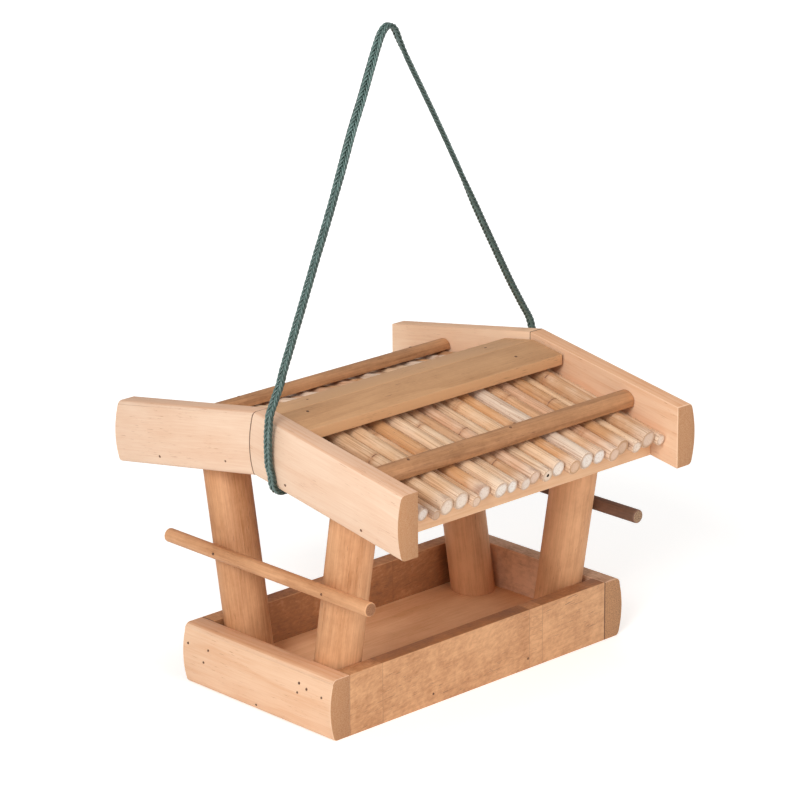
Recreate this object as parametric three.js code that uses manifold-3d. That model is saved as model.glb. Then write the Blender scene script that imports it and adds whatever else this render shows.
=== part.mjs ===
// Hanging bird table: a feeding tray, four leaning posts and a reed roof, carried by a loop of cord.
// Millimetres, +Z up. X runs along the ridge, -Y is the front slope, and the tray's underside is z = 0.
import * as THREE from "three";
import { mergeVertices } from "three/addons/utils/BufferGeometryUtils.js";
import Module from "manifold-3d";

const wasm = await Module();
wasm.setup();

// Gap where round or cut faces meet
const clearance = 0.3;
const cutOverrun = 20;

// Tray
const bayLength = 200;
const trayWidth = 122;
const sideThickness = 10;
const floorThickness = 10;

// Half-log board, which makes the tray ends and the four gable boards
const boardWidth = 35.5;
const boardEdge = 11.5;
const boardBulge = 3;

// Posts: dowels that stand on the floor and lean out to the eaves
const postDiameter = 26;
const postLean = THREE.MathUtils.degToRad(9.6);

// Roof deck: two boards that meet at the ridge
const deckPeakHeight = 151.6;
const deckPitch = THREE.MathUtils.degToRad(12);
const deckThickness = 10;
const deckReach = 95.5;

// Gables
const gableRise = 21.2;
const gablePitch = THREE.MathUtils.degToRad(9.6);
const gableReach = 115;

// Reeds
const reedOverhang = 8.5;
const reedStagger = 1.8;
const reedRidgeGap = 3;
const reedKnuckleLength = 2.4;
const reedShoulderShare = 0.96;
const reedTipShare = 0.93;
// How close two joined reeds lie, against two that just touch
const joinedReedShare = 0.87;

// Ridge caps, battens and perches
const capWidth = 23;
const capThickness = 6.2;
const capEndGap = 1.5;
// How far down the front slope the two caps meet
const capSeamReach = 4.5;
const battenWidth = { front: 12, back: 10.5 };
const battenHeight = { front: 7.5, back: 6.5 };
const battenReach = { front: 76, back: 70 };
const battenSideHeight = 2.5;
const perchDiameter = 8;
const perchLength = 165;
const perchHeight = 80;
const perchChamfer = 0.7;

// Cord and its knot
const cordDiameter = 4.2;
const knotLength = 15;
const knotWidth = 9.5;
const knotHeight = 8.5;

// How finely round forms are cut into faces
const boardFaces = 8;
const postFaces = 24;
const reedFaces = 12;
const battenFaces = 10;
const perchFaces = 16;
const cordFaces = 10;
const cordLoopSteps = 37;
const cordLeftSteps = 32;
const cordRightSteps = 44;

// Reed widths against each other, from the left gable to the right one
const frontReedWidthShares = [
  0.96, 0.84, 0.64, 1.06, 1.14, 0.74, 0.98, 1.04, 0.86, 0.82, 0.92,
  0.84, 1.02, 0.96, 1.1, 0.98, 0.94, 1.02, 0.8, 1.14, 0.72,
];
const backReedWidthShares = [
  1.0, 0.94, 1.03, 0.97, 0.93, 1.02, 0.98, 1.04, 0.92, 0.99, 1.03,
  0.95, 1.01, 0.96, 1.04, 0.93, 1.0, 0.97, 1.02, 0.95, 0.98, 1.01,
];
// Where each reed ends at the eave, against the stagger, taken in turn
const reedEndShares = [0.2, -0.7, 0.9, 0.1, -0.3, 1, -0.9, 0.5, -0.1, 0.7, -0.5];
// Where the knuckle sits along each reed, taken in turn
const reedKnuckleShares = [0.62, 0.3, 0.78, 0.46, 0.7, 0.24, 0.54];

// Places that several pieces share
const baySide = bayLength / 2;
const postRadius = postDiameter / 2;
const cordRadius = cordDiameter / 2;
// Each post leans just clear of the top inner edge of the tray's side
const postFootReach = trayWidth / 2 - sideThickness - clearance - postRadius / Math.cos(postLean)
  - (boardWidth - floorThickness) * Math.tan(postLean);
const gablePeakHeight = deckPeakHeight + gableRise;
const gableHeight = boardWidth / Math.cos(gablePitch);
const sideSign = { front: -1, back: 1 };
const endSign = { left: -1, right: 1 };

// The cord's route, point by point: over the hook, down both gables and under the roof to the knot
const leftTurn = new THREE.Vector3(-115.8, -18, 176);
const rightTurn = new THREE.Vector3(113.6, 14, 176);
const knotPlace = new THREE.Vector3(-24, -5.6, 121.8);
const loopRoute = [
  [-110.9, -17.3, 184.4], [-107.2, -16.8, 190.6], [-104, -16.3, 197.8], [-98, -15.5, 209.8],
  [-87, -14, 231.5], [-75.5, -12.4, 254.3], [-64.5, -10.8, 275.2], [-54.5, -9.4, 296],
  [-45, -8.1, 316.5], [-36, -6.9, 333.5], [-28, -5.7, 349.5], [-21.5, -4.8, 362], [-17.5, -4.3, 367.4],
  [-12.8, -3.6, 369.3], [-8.2, -3, 367], [-4, -2.4, 360], [2.5, -1.5, 349.3], [12.7, -0.1, 333.6],
  [23.6, 1.4, 316.8], [37.6, 3.4, 294.8], [50.8, 5.2, 273.4], [65.4, 7.3, 249.4], [80.4, 9.4, 225.6],
  [95.4, 11.5, 202], [103.4, 12.6, 190.4], [107.6, 13.2, 184.4],
];
const leftWrapRoute = [
  [-116.5, -18, 171.4], [-117.2, -18, 165], [-117.4, -18, 158], [-117.2, -18, 151], [-116.6, -18, 144.5],
  [-116, -18, 140.2], [-115.75, -18, 137.4], [-115, -18, 134.1], [-112.9, -18, 131.3], [-110.5, -18, 129.9],
  [-107.7, -17.9, 129.4], [-103, -17.3, 129.3], [-97, -16.5, 129],
  [-90, -15.5, 128.4], [-75, -13.2, 126.6], [-60, -11, 125], [-46, -8.9, 123.6],
];
const rightWrapRoute = [
  [115.3, 14, 171.6], [116.6, 14, 165.6], [117.3, 14, 158.4], [117.2, 14, 151], [116.7, 14, 144.5],
  [116, 14, 140.6], [115.75, 14, 138.1], [115, 14, 134.7], [112.9, 14, 132], [110.5, 14, 130.6],
  [107.7, 13.9, 130.1], [103, 13.4, 129.9], [97, 12.6, 129.5],
  [90, 11.6, 128.8], [70, 8.6, 126.6], [50, 5.6, 124.9], [28, 2.3, 123.2], [6, -1.1, 122.2],
];

// A surface of the roof: its height at a distance from the ridge, on a given pitch
function slopeHeight(peak, pitch, reach) {
  return peak - Math.tan(pitch) * reach;
}

// Deck top, raised square to the slope by some amount
function overDeck(reach, raised) {
  return slopeHeight(deckPeakHeight, deckPitch, reach) + raised / Math.cos(deckPitch);
}

// Turns an outline drawn in (y, z) into a bar that runs along X, centred on x = 0
function barAlongX(outline, length) {
  const bar = new THREE.ExtrudeGeometry(outline, {
    depth: length,
    bevelEnabled: false,
    curveSegments: battenFaces,
  });
  const turn = new THREE.Matrix4().makeBasis(
    new THREE.Vector3(0, 1, 0),
    new THREE.Vector3(0, 0, 1),
    new THREE.Vector3(1, 0, 0),
  );
  return bar.applyMatrix4(turn).translate(-length / 2, 0, 0);
}

// Turns an outline drawn in (x, z) into a board that runs from the given y towards -Y
function boardAlongY(outline, length, startY) {
  const board = new THREE.ExtrudeGeometry(outline, {
    depth: length,
    bevelEnabled: false,
    curveSegments: boardFaces,
  });
  const turn = new THREE.Matrix4().makeBasis(
    new THREE.Vector3(1, 0, 0),
    new THREE.Vector3(0, 0, 1),
    new THREE.Vector3(0, -1, 0),
  );
  return board.applyMatrix4(turn).translate(0, startY, 0);
}

// Half-log section: flat inside on x = 0, swelling outside between two square edges
function halfLogOutline(height) {
  const radius = (height * height / 4 + boardBulge * boardBulge) / (2 * boardBulge);
  const halfAngle = Math.asin(height / 2 / radius);
  const outline = new THREE.Shape();
  outline.absarc(boardEdge + boardBulge - radius, height / 2, radius, -halfAngle, halfAngle, false);
  outline.lineTo(0, height);
  outline.lineTo(0, 0);
  return outline;
}

// Section of a roof board between two distances from the ridge, with plumb ends
function slopedOutline(side, peak, pitch, thickness, near, far) {
  const drop = thickness / Math.cos(pitch);
  const outline = new THREE.Shape();
  outline.moveTo(side * near, slopeHeight(peak, pitch, near));
  outline.lineTo(side * far, slopeHeight(peak, pitch, far));
  outline.lineTo(side * far, slopeHeight(peak, pitch, far) - drop);
  outline.lineTo(side * near, slopeHeight(peak, pitch, near) - drop);
  return outline;
}

// Solid for cutting and joining, from a geometry's places alone
function toSolid(geometry) {
  const bare = geometry.clone();
  bare.deleteAttribute("normal");
  bare.deleteAttribute("uv");
  const merged = mergeVertices(bare);
  const corners = Array.from(merged.index.array);
  const faces = [];
  for (let i = 0; i < corners.length; i += 3) {
    const [a, b, c] = corners.slice(i, i + 3);
    if (a !== b && b !== c && c !== a) faces.push(a, b, c);
  }
  return new wasm.Manifold(new wasm.Mesh({
    numProp: 3,
    vertProperties: new Float32Array(merged.attributes.position.array),
    triVerts: new Uint32Array(faces),
  }));
}

function toGeometry(solid) {
  const mesh = solid.getMesh();
  const geometry = new THREE.BufferGeometry();
  geometry.setAttribute("position", new THREE.BufferAttribute(mesh.vertProperties, 3));
  geometry.setIndex(new THREE.BufferAttribute(mesh.triVerts, 1));
  geometry.computeVertexNormals();
  return geometry;
}

function piece(name, geometry, color, roughness = 0.75) {
  const material = new THREE.MeshStandardMaterial({ color, roughness, metalness: 0 });
  const mesh = new THREE.Mesh(geometry, material);
  mesh.name = name;
  return mesh;
}

// Tray: a floor board framed by two sides and two half-log ends
function trayFloor() {
  const width = trayWidth - 2 * sideThickness;
  const floor = piece("tray_floor", new THREE.BoxGeometry(bayLength, width, floorThickness), 0xc98b5a);
  floor.position.z = floorThickness / 2;
  return floor;
}

function traySide(side) {
  const board = new THREE.BoxGeometry(bayLength, sideThickness, boardWidth);
  const mesh = piece(`tray_side_${side}`, board, 0xcf935f);
  mesh.position.set(0, sideSign[side] * (trayWidth - sideThickness) / 2, boardWidth / 2);
  return mesh;
}

function trayEnd(end) {
  const board = boardAlongY(halfLogOutline(boardWidth), trayWidth, trayWidth / 2);
  const mesh = piece(`tray_end_${end}`, board, 0xe9b98f);
  mesh.position.x = endSign[end] * baySide;
  mesh.rotation.z = end === "left" ? Math.PI : 0;
  return mesh;
}

function tray() {
  const group = new THREE.Group();
  group.add(trayFloor());
  for (const side of ["front", "back"]) group.add(traySide(side));
  for (const end of ["left", "right"]) group.add(trayEnd(end));
  return group;
}

// Post: a leaning dowel, cut level on the tray's floor and to the slope under the deck
function post(end, side) {
  const sign = sideSign[side];
  const length = deckPeakHeight + 2 * cutOverrun;
  const dowel = new THREE.CylinderGeometry(postRadius, postRadius, length, postFaces);
  dowel.translate(0, length / 2 - cutOverrun, 0).rotateX(Math.PI / 2 - sign * postLean);
  dowel.translate(0, sign * postFootReach, floorThickness);
  const underDeck = overDeck(0, -deckThickness - clearance);
  const cutFace = [0, -sign * Math.sin(deckPitch), -Math.cos(deckPitch)];
  const standing = toSolid(dowel)
    .trimByPlane([0, 0, 1], floorThickness)
    .trimByPlane(cutFace, -underDeck * Math.cos(deckPitch));
  const mesh = piece(`post_${side}_${end}`, toGeometry(standing), 0xc88a58);
  mesh.position.x = endSign[end] * (baySide - postRadius - clearance);
  return mesh;
}

// Perch: a thin dowel across the outside of two posts
function perch(end) {
  const radius = perchDiameter / 2;
  const half = perchLength / 2;
  const profile = [
    new THREE.Vector2(0, -half),
    new THREE.Vector2(radius - perchChamfer, -half),
    new THREE.Vector2(radius, perchChamfer - half),
    new THREE.Vector2(radius, half - perchChamfer),
    new THREE.Vector2(radius - perchChamfer, half),
    new THREE.Vector2(0, half),
  ];
  const mesh = piece(`perch_${end}`, new THREE.LatheGeometry(profile, perchFaces), 0xae7347);
  mesh.position.set(endSign[end] * (baySide + radius), 0, perchHeight);
  return mesh;
}

// Gable board: a half-log board sheared to the pitch, so that both its ends are plumb
function gableBoard(end, side) {
  // A left board is a right one of the other slope turned half round
  const slope = end === "left" ? -sideSign[side] : sideSign[side];
  const seam = clearance / 2;
  const board = boardAlongY(
    halfLogOutline(gableHeight),
    gableReach - seam,
    slope > 0 ? gableReach : -seam,
  );
  board.applyMatrix4(new THREE.Matrix4().makeShear(0, 0, 0, -slope * Math.tan(gablePitch), 0, 0));
  const mesh = piece(`gable_${side}_${end}`, board, 0xf0cfac);
  mesh.position.set(endSign[end] * baySide, 0, gablePeakHeight - gableHeight);
  mesh.rotation.z = end === "left" ? Math.PI : 0;
  return mesh;
}

function roofDeck(side) {
  const outline = slopedOutline(
    sideSign[side], deckPeakHeight, deckPitch, deckThickness, clearance / 2, deckReach,
  );
  return piece(`roof_deck_${side}`, barAlongX(outline, bayLength - 2 * clearance), 0xe3ad78);
}

// Lays reeds of unlike widths side by side, singly or in joined pairs, so that the row just fills the bay
function reedRow(widthShares, inPairs) {
  let across = 0;
  let gaps = 0;
  const places = widthShares.map((share, i) => {
    const joined = inPairs && i % 2 === 1;
    const step = i === 0 ? share / 2 : Math.sqrt(widthShares[i - 1] * share);
    across += joined ? step * joinedReedShare : step;
    gaps += joined ? 0 : clearance;
    return { share, across, gaps };
  });
  const lastShare = widthShares[widthShares.length - 1];
  const unit = (bayLength - gaps - clearance) / (across + lastShare / 2);
  return places.map((place, i) => ({
    radius: place.share * unit / 2,
    x: place.across * unit + place.gaps - baySide,
    end: reedEndShares[i % reedEndShares.length] * reedStagger,
    knuckleShare: reedKnuckleShares[i % reedKnuckleShares.length],
  }));
}

const reedRows = {
  front: reedRow(frontReedWidthShares, false),
  back: reedRow(backReedWidthShares, true),
};

// How far the tallest reed of a slope stands over the deck
function reedTop(side) {
  return clearance + 2 * Math.max(...reedRows[side].map((reed) => reed.radius));
}

// Reed: a slightly tapered stalk with one swollen knuckle, its top end at the origin, running along +Y
function reedStalk({ radius, end, knuckleShare }) {
  const length = (deckReach + reedOverhang - reedRidgeGap) / Math.cos(deckPitch) + end;
  const knuckle = length * knuckleShare;
  const shoulder = radius * reedShoulderShare;
  const profile = [
    new THREE.Vector2(0, 0),
    new THREE.Vector2(shoulder, 0),
    new THREE.Vector2(shoulder, knuckle - reedKnuckleLength),
    new THREE.Vector2(radius, knuckle),
    new THREE.Vector2(shoulder, knuckle + reedKnuckleLength),
    new THREE.Vector2(radius * reedTipShare, length),
    new THREE.Vector2(0, length),
  ];
  return new THREE.LatheGeometry(profile, reedFaces);
}

function placeReed(mesh, side, reed) {
  const sign = sideSign[side];
  const raised = reed.radius + clearance;
  const reach = reedRidgeGap + raised * Math.sin(deckPitch);
  const height = overDeck(reedRidgeGap, 0) + raised * Math.cos(deckPitch);
  mesh.position.set(reed.x, sign * reach, height);
  mesh.rotation.x = side === "front" ? Math.PI + deckPitch : -deckPitch;
  return mesh;
}

const reedColors = [0xe2bd8c, 0xd9a871, 0xe8cba6, 0xd49c62, 0xecd6bb, 0xdfb482];

function frontReeds() {
  return reedRows.front.map((reed, i) => {
    const name = `reed_front_${String(i + 1).padStart(2, "0")}`;
    const mesh = piece(name, reedStalk(reed), reedColors[i % reedColors.length], 0.6);
    return placeReed(mesh, "front", reed);
  });
}

// The back slope's reeds lie in touching pairs, each pair one solid
function backReeds() {
  const pairs = [];
  for (let i = 0; i < reedRows.back.length; i += 2) {
    const [first, second] = reedRows.back.slice(i, i + 2);
    const beside = reedStalk(second);
    beside.translate(second.x - first.x, 0, second.radius - first.radius);
    const joined = toGeometry(toSolid(reedStalk(first)).add(toSolid(beside)));
    const name = `reed_pair_back_${String(i / 2 + 1).padStart(2, "0")}`;
    const mesh = piece(name, joined, reedColors[(i / 2) % reedColors.length], 0.6);
    pairs.push(placeReed(mesh, "back", first));
  }
  return pairs;
}

// Height at a ridge cap's seam edge at which its underside just clears the reeds below it
function capSeat(side) {
  const near = -sideSign[side] * capSeamReach;
  const raised = reedTop(side) + clearance;
  const seats = [Math.max(near, reedRidgeGap), near + capWidth].map((reach) => {
    return overDeck(reach, raised) + Math.tan(gablePitch) * (reach - near);
  });
  return Math.max(...seats);
}

// Ridge cap: a board on the reeds' top ends, at the gables' pitch. The two meet flush at one seam
function ridgeCap(side) {
  const near = -sideSign[side] * capSeamReach;
  const seam = Math.max(capSeat("front"), capSeat("back")) + capThickness / Math.cos(gablePitch);
  const outline = slopedOutline(
    sideSign[side],
    seam + Math.tan(gablePitch) * near,
    gablePitch,
    capThickness,
    near + clearance / 2,
    near + capWidth,
  );
  return piece(`ridge_cap_${side}`, barAlongX(outline, bayLength - 2 * capEndGap), 0xbb8c5e);
}

// Batten: a half-round rod nailed down across the reeds
function batten(side) {
  const half = battenWidth[side] / 2;
  const crown = battenHeight[side] - battenSideHeight;
  const outline = new THREE.Shape();
  outline.moveTo(-half, 0);
  outline.lineTo(half, 0);
  outline.absellipse(0, battenSideHeight, half, crown, 0, Math.PI, false);
  const length = bayLength - 2 * clearance;
  const mesh = piece(`batten_${side}`, barAlongX(outline, length), 0xab7448);
  const reach = battenReach[side];
  mesh.position.set(0, sideSign[side] * reach, overDeck(reach, reedTop(side) + clearance));
  mesh.rotation.x = -sideSign[side] * deckPitch;
  return mesh;
}

function roof() {
  const group = new THREE.Group();
  for (const side of ["front", "back"]) {
    group.add(roofDeck(side), ridgeCap(side), batten(side));
    for (const end of ["left", "right"]) group.add(gableBoard(end, side));
  }
  group.add(...frontReeds(), ...backReeds());
  return group;
}

function cordOutline() {
  const outline = new THREE.Shape();
  for (let i = 0; i < cordFaces; i += 1) {
    const angle = 2 * Math.PI * i / cordFaces;
    const corner = new THREE.Vector2(Math.cos(angle), Math.sin(angle)).multiplyScalar(cordRadius);
    if (i === 0) outline.moveTo(corner.x, corner.y);
    else outline.lineTo(corner.x, corner.y);
  }
  return outline;
}

// Where a run of cord starts: clear of the turn or knot that it leaves, on the way to its next point
function leaving(place, next, reach) {
  return place.clone().addScaledVector(next.clone().sub(place).normalize(), reach + clearance);
}

function cordRun(name, points, steps) {
  const run = new THREE.ExtrudeGeometry(cordOutline(), {
    steps,
    bevelEnabled: false,
    extrudePath: new THREE.CatmullRomCurve3(points, false, "centripetal"),
  });
  return piece(name, run, 0x1f4a41, 0.8);
}

// The loop over the hook stops just clear of a round turn at each gable, on which it can swing
function cordLoop() {
  const points = loopRoute.map((place) => new THREE.Vector3(...place));
  const start = leaving(leftTurn, points[0], cordRadius);
  const finish = leaving(rightTurn, points[points.length - 1], cordRadius);
  return cordRun("cord_loop", [start, ...points, finish], cordLoopSteps);
}

function cordTurn(end, place) {
  const ball = new THREE.SphereGeometry(cordRadius, cordFaces, cordFaces);
  const mesh = piece(`cord_turn_${end}`, ball, 0x1f4a41, 0.8);
  mesh.position.copy(place);
  return mesh;
}

function cordWrap(end, turn, route, steps) {
  const points = route.map((place) => new THREE.Vector3(...place));
  const start = leaving(turn, points[0], cordRadius);
  const finish = leaving(knotPlace, points[points.length - 1], knotLength / 2);
  return cordRun(`cord_wrap_${end}`, [start, ...points, finish], steps);
}

function cordKnot() {
  const lump = new THREE.SphereGeometry(1, 12, 8);
  lump.scale(knotLength / 2, knotWidth / 2, knotHeight / 2);
  const mesh = piece("cord_knot", lump, 0x1f4a41, 0.8);
  mesh.position.copy(knotPlace);
  mesh.rotation.z = Math.atan2(rightTurn.y - leftTurn.y, rightTurn.x - leftTurn.x);
  return mesh;
}

function cord() {
  const group = new THREE.Group();
  group.add(cordLoop(), cordKnot());
  group.add(cordTurn("left", leftTurn), cordTurn("right", rightTurn));
  group.add(cordWrap("left", leftTurn, leftWrapRoute, cordLeftSteps));
  group.add(cordWrap("right", rightTurn, rightWrapRoute, cordRightSteps));
  return group;
}

const group = new THREE.Group();
group.add(tray());
for (const end of ["left", "right"]) {
  for (const side of ["front", "back"]) group.add(post(end, side));
  group.add(perch(end));
}
group.add(roof(), cord());

export default group;
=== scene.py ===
"""Looks of a hanging bird table around its CAD frame: planed and turned wood, reeds and a braided cord."""

import math
import random

import bmesh
import bpy
from mathutils import Matrix, Vector
from mathutils.geometry import interpolate_bezier


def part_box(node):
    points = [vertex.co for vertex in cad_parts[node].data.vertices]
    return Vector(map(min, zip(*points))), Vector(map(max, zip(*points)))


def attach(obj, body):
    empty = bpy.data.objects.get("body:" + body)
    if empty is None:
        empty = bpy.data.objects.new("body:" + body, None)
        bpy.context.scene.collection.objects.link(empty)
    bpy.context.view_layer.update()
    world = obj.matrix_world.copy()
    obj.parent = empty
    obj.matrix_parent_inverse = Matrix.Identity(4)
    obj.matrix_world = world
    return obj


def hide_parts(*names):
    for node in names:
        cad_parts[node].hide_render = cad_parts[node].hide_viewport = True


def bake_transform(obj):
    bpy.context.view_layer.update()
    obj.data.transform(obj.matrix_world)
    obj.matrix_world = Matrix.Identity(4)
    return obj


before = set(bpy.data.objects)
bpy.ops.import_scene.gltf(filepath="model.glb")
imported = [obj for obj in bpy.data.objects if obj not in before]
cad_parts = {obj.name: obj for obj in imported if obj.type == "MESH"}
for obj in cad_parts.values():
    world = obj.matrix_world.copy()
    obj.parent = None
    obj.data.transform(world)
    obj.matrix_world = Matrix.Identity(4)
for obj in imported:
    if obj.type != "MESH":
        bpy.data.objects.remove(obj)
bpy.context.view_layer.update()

MM = 0.001
X_AXIS = Vector((1, 0, 0))
Y_AXIS = Vector((0, 1, 0))
Z_AXIS = Vector((0, 0, 1))
SIDES = {"front": -1, "back": 1}
ENDS = {"left": -1, "right": 1}

# Sizes that the part's source also holds
CLEARANCE = 0.3 * MM
DECK_PITCH = math.radians(12)
GABLE_PITCH = math.radians(9.6)
POST_LEAN = math.radians(9.6)
REED_STAGGER = 1.8 * MM
REED_RIDGE_GAP = 3 * MM
REED_OVERHANG = 8.5 * MM
REED_SHOULDER_SHARE = 0.96
REED_TIP_SHARE = 0.93
JOINED_REED_SHARE = 0.87
FRONT_REED_WIDTH_SHARES = [
    0.96, 0.84, 0.64, 1.06, 1.14, 0.74, 0.98, 1.04, 0.86, 0.82, 0.92,
    0.84, 1.02, 0.96, 1.1, 0.98, 0.94, 1.02, 0.8, 1.14, 0.72,
]
BACK_REED_WIDTH_SHARES = [
    1.0, 0.94, 1.03, 0.97, 0.93, 1.02, 0.98, 1.04, 0.92, 0.99, 1.03,
    0.95, 1.01, 0.96, 1.04, 0.93, 1.0, 0.97, 1.02, 0.95, 0.98, 1.01,
]
REED_END_SHARES = [0.2, -0.7, 0.9, 0.1, -0.3, 1, -0.9, 0.5, -0.1, 0.7, -0.5]
REED_KNUCKLE_SHARES = [0.62, 0.3, 0.78, 0.46, 0.7, 0.24, 0.54]

# How much darker each post, each perch and one gable board are than their wood, or lighter where below 0:
# painted light and shade on the posts and that gable board, the wood's own tone on the perches
POST_PAINTED_SHADES = {
    ("front", "left"): 0.15, ("back", "left"): 0.25, ("front", "right"): -0.08, ("back", "right"): -0.12,
}
PERCH_SHADES = {"left": 0.1, "right": 0.2}
BACK_RIGHT_GABLE_PAINTED_LIGHT = -0.25

# How square on a face has to be to count as end grain, as facing a given way, or as level
END_GRAIN_FACING = 0.85
WAY_FACING = 0.8
LEVEL_FACING = 0.9

# The least angle of an edge that is eased, that of one shaded as sharp, and how close doubled points lie
EDGE_ANGLE = math.radians(30)
SMOOTH_ANGLE = math.radians(32)
DOUBLE_POINTS = 0.002 * MM

# A half-log board's outer corners lie further out than this, and its long edges are longer than this
HALF_LOG_CORNER = 108 * MM
LONG_EDGE = 50 * MM

# Where blocks of wood are joined end to end in the tray's long sides, the grime in those joints, and how
# dark the seam at the front side's left end is made, where 1 is as dark as a seam gets
TRAY_SIDE_JOINTS = (-75.6 * MM, 38.3 * MM, 48.6 * MM)
JOINT_LINE = 0.2 * MM
JOINT_GRIME = 0.35
LEFT_SEAM_DARK = 0.25

# How far the darkening of a seam reaches: at a tray side's ends and on the right end board, a dark line,
# and at the ridge, painted shade in the gap between the gable boards
SIDE_SEAM = 1 * MM
END_SEAM = 0.6 * MM
END_SEAM_START = 55 * MM
RIDGE_SEAM = 0.8 * MM

# The share of its gap that the gables' inner edge keeps at the ridge
INNER_GAP_SHARE = 0.1

# The flat sides that stand for a post's, a perch's and a reed's roundness
POST_SIDES = 72
PERCH_SIDES = 40
REED_SIDES = 24

# A reed: its chamfer, its waists, none of which lies near to the knuckle, and the knuckle's own outline, as
# shares of the reed's radius and places along the reed
REED_CHAMFER = 0.3 * MM
REED_WAISTS = 8
WAIST_TO_KNUCKLE = 6 * MM
KNUCKLE_OUTLINE = (
    (0.955, -4 * MM), (0.985, -1.4 * MM), (1, -0.4 * MM), (0.96, 0), (0.995, 0.4 * MM), (0.97, 1.5 * MM),
    (0.95, 4.5 * MM),
)

# A reed's cut end: the pith's edge, relief and dip, how deep its face counts as cut, its hollow, and the
# length that a slanted cut moves. On a face corner, a mark above the last value means that it is cut.
PITH_EDGE_SHARE = 0.82
PITH_RELIEF = 0.05 * MM
PITH_DIP = 0.15 * MM
END_FACE_DEPTH = 0.12 * MM
HOLLOW_WALL = 2 * MM
HOLLOW_DEPTH = 2.2 * MM
HOLLOW_TAPER_SHARE = 0.9
SLANTED_END = 3 * MM
ON_CUT_END = 0.25

# The front reed whose cut end shows an open middle, counted from 0 at the left
HOLLOW_FRONT_REED = 11

# The cord: its width and thickness, and its plait of seven strands round two straight ones. The lower the
# sharpness, the faster a strand dives from the cord's face to its back.
CORD_WIDTH = 5.3 * MM
CORD_THICKNESS = 3.1 * MM
PLAIT_PITCH = 20 * MM
STEPS_PER_PITCH = 30
STRANDS = 7
STRAND_RADIUS = 0.72 * MM
CORE_RADIUS = 0.75 * MM
CORE_SHARES = (-0.5, 0.5)
DIVE_SHARPNESS = 0.6

# How far each run of the cord turns about itself above the gables, and between which heights
LEFT_TWIST = math.radians(45)
LEFT_TWIST_START = 285 * MM
RIGHT_TWIST = math.radians(38)
RIGHT_TWIST_START = 252 * MM
TWIST_RISE = 25 * MM
TWIST_FALL = 20 * MM
TWIST_END = 369 * MM

# Where the cord is drawn up to a gable's lower corner: how near, how far inwards and how far up
GABLE_CORNER = Vector((111.5, 0, 134)) * MM
FIRST_DRAWN = 16 * MM
FULLY_DRAWN = 7 * MM
BESIDE_CORNER = 113.5 * MM
UNDER_CORNER = 109.5 * MM
LIFT_BESIDE = 1.45 * MM
LIFT_UNDER = 2.1 * MM
INWARD_SHARE = 0.55

# The knot's braid, its trefoil and how far the cord's ends run into it
KNOT_WIDTH = 4.4 * MM
KNOT_THICKNESS = 3.4 * MM
KNOT_SIZE = Vector((2.0, 1.45, 1.3)) * MM
KNOT_POINTS = 24
CORD_INTO_KNOT = 6 * MM

# The cord's route, point by point, as in the part's source but in metres
LEFT_TURN = Vector((-0.1158, -0.018, 0.176))
RIGHT_TURN = Vector((0.1136, 0.014, 0.176))
BEND_ACROSS = -0.0128
KNOT_PLACE = Vector((-0.024, -0.0056, 0.1218))
LOOP_ROUTE = [
    (-0.1109, -0.0173, 0.1844), (-0.1072, -0.0168, 0.1906), (-0.104, -0.0163, 0.1978),
    (-0.098, -0.0155, 0.2098), (-0.087, -0.014, 0.2315), (-0.0755, -0.0124, 0.2543),
    (-0.0645, -0.0108, 0.2752), (-0.0545, -0.0094, 0.296), (-0.045, -0.0081, 0.3165),
    (-0.036, -0.0069, 0.3335), (-0.028, -0.0057, 0.3495), (-0.0215, -0.0048, 0.362),
    (-0.0175, -0.0043, 0.3674), (-0.0128, -0.0036, 0.3693), (-0.0082, -0.003, 0.367),
    (-0.004, -0.0024, 0.36), (0.0025, -0.0015, 0.3493), (0.0127, -0.0001, 0.3336),
    (0.0236, 0.0014, 0.3168), (0.0376, 0.0034, 0.2948), (0.0508, 0.0052, 0.2734),
    (0.0654, 0.0073, 0.2494), (0.0804, 0.0094, 0.2256), (0.0954, 0.0115, 0.202),
    (0.1034, 0.0126, 0.1904), (0.1076, 0.0132, 0.1844),
]
LEFT_WRAP_ROUTE = [
    (-0.1165, -0.018, 0.1714), (-0.1172, -0.018, 0.165), (-0.1174, -0.018, 0.158),
    (-0.1172, -0.018, 0.151), (-0.1166, -0.018, 0.1445), (-0.116, -0.018, 0.1402),
    (-0.11575, -0.018, 0.1374), (-0.115, -0.018, 0.1341), (-0.1129, -0.018, 0.1313),
    (-0.1105, -0.018, 0.1299), (-0.1077, -0.0179, 0.1294), (-0.103, -0.0173, 0.1293),
    (-0.097, -0.0165, 0.129), (-0.09, -0.0155, 0.1284), (-0.075, -0.0132, 0.1266),
    (-0.06, -0.011, 0.125), (-0.046, -0.0089, 0.1236),
]
RIGHT_WRAP_ROUTE = [
    (0.1153, 0.014, 0.1716), (0.1166, 0.014, 0.1656), (0.1173, 0.014, 0.1584),
    (0.1172, 0.014, 0.151), (0.1167, 0.014, 0.1445), (0.116, 0.014, 0.1406),
    (0.11575, 0.014, 0.1381), (0.115, 0.014, 0.1347), (0.1129, 0.014, 0.132),
    (0.1105, 0.014, 0.1306), (0.1077, 0.0139, 0.1301), (0.103, 0.0134, 0.1299),
    (0.097, 0.0126, 0.1295), (0.09, 0.0116, 0.1288), (0.07, 0.0086, 0.1266),
    (0.05, 0.0056, 0.1249), (0.028, 0.0023, 0.1232), (0.006, -0.0011, 0.1222),
]

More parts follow.
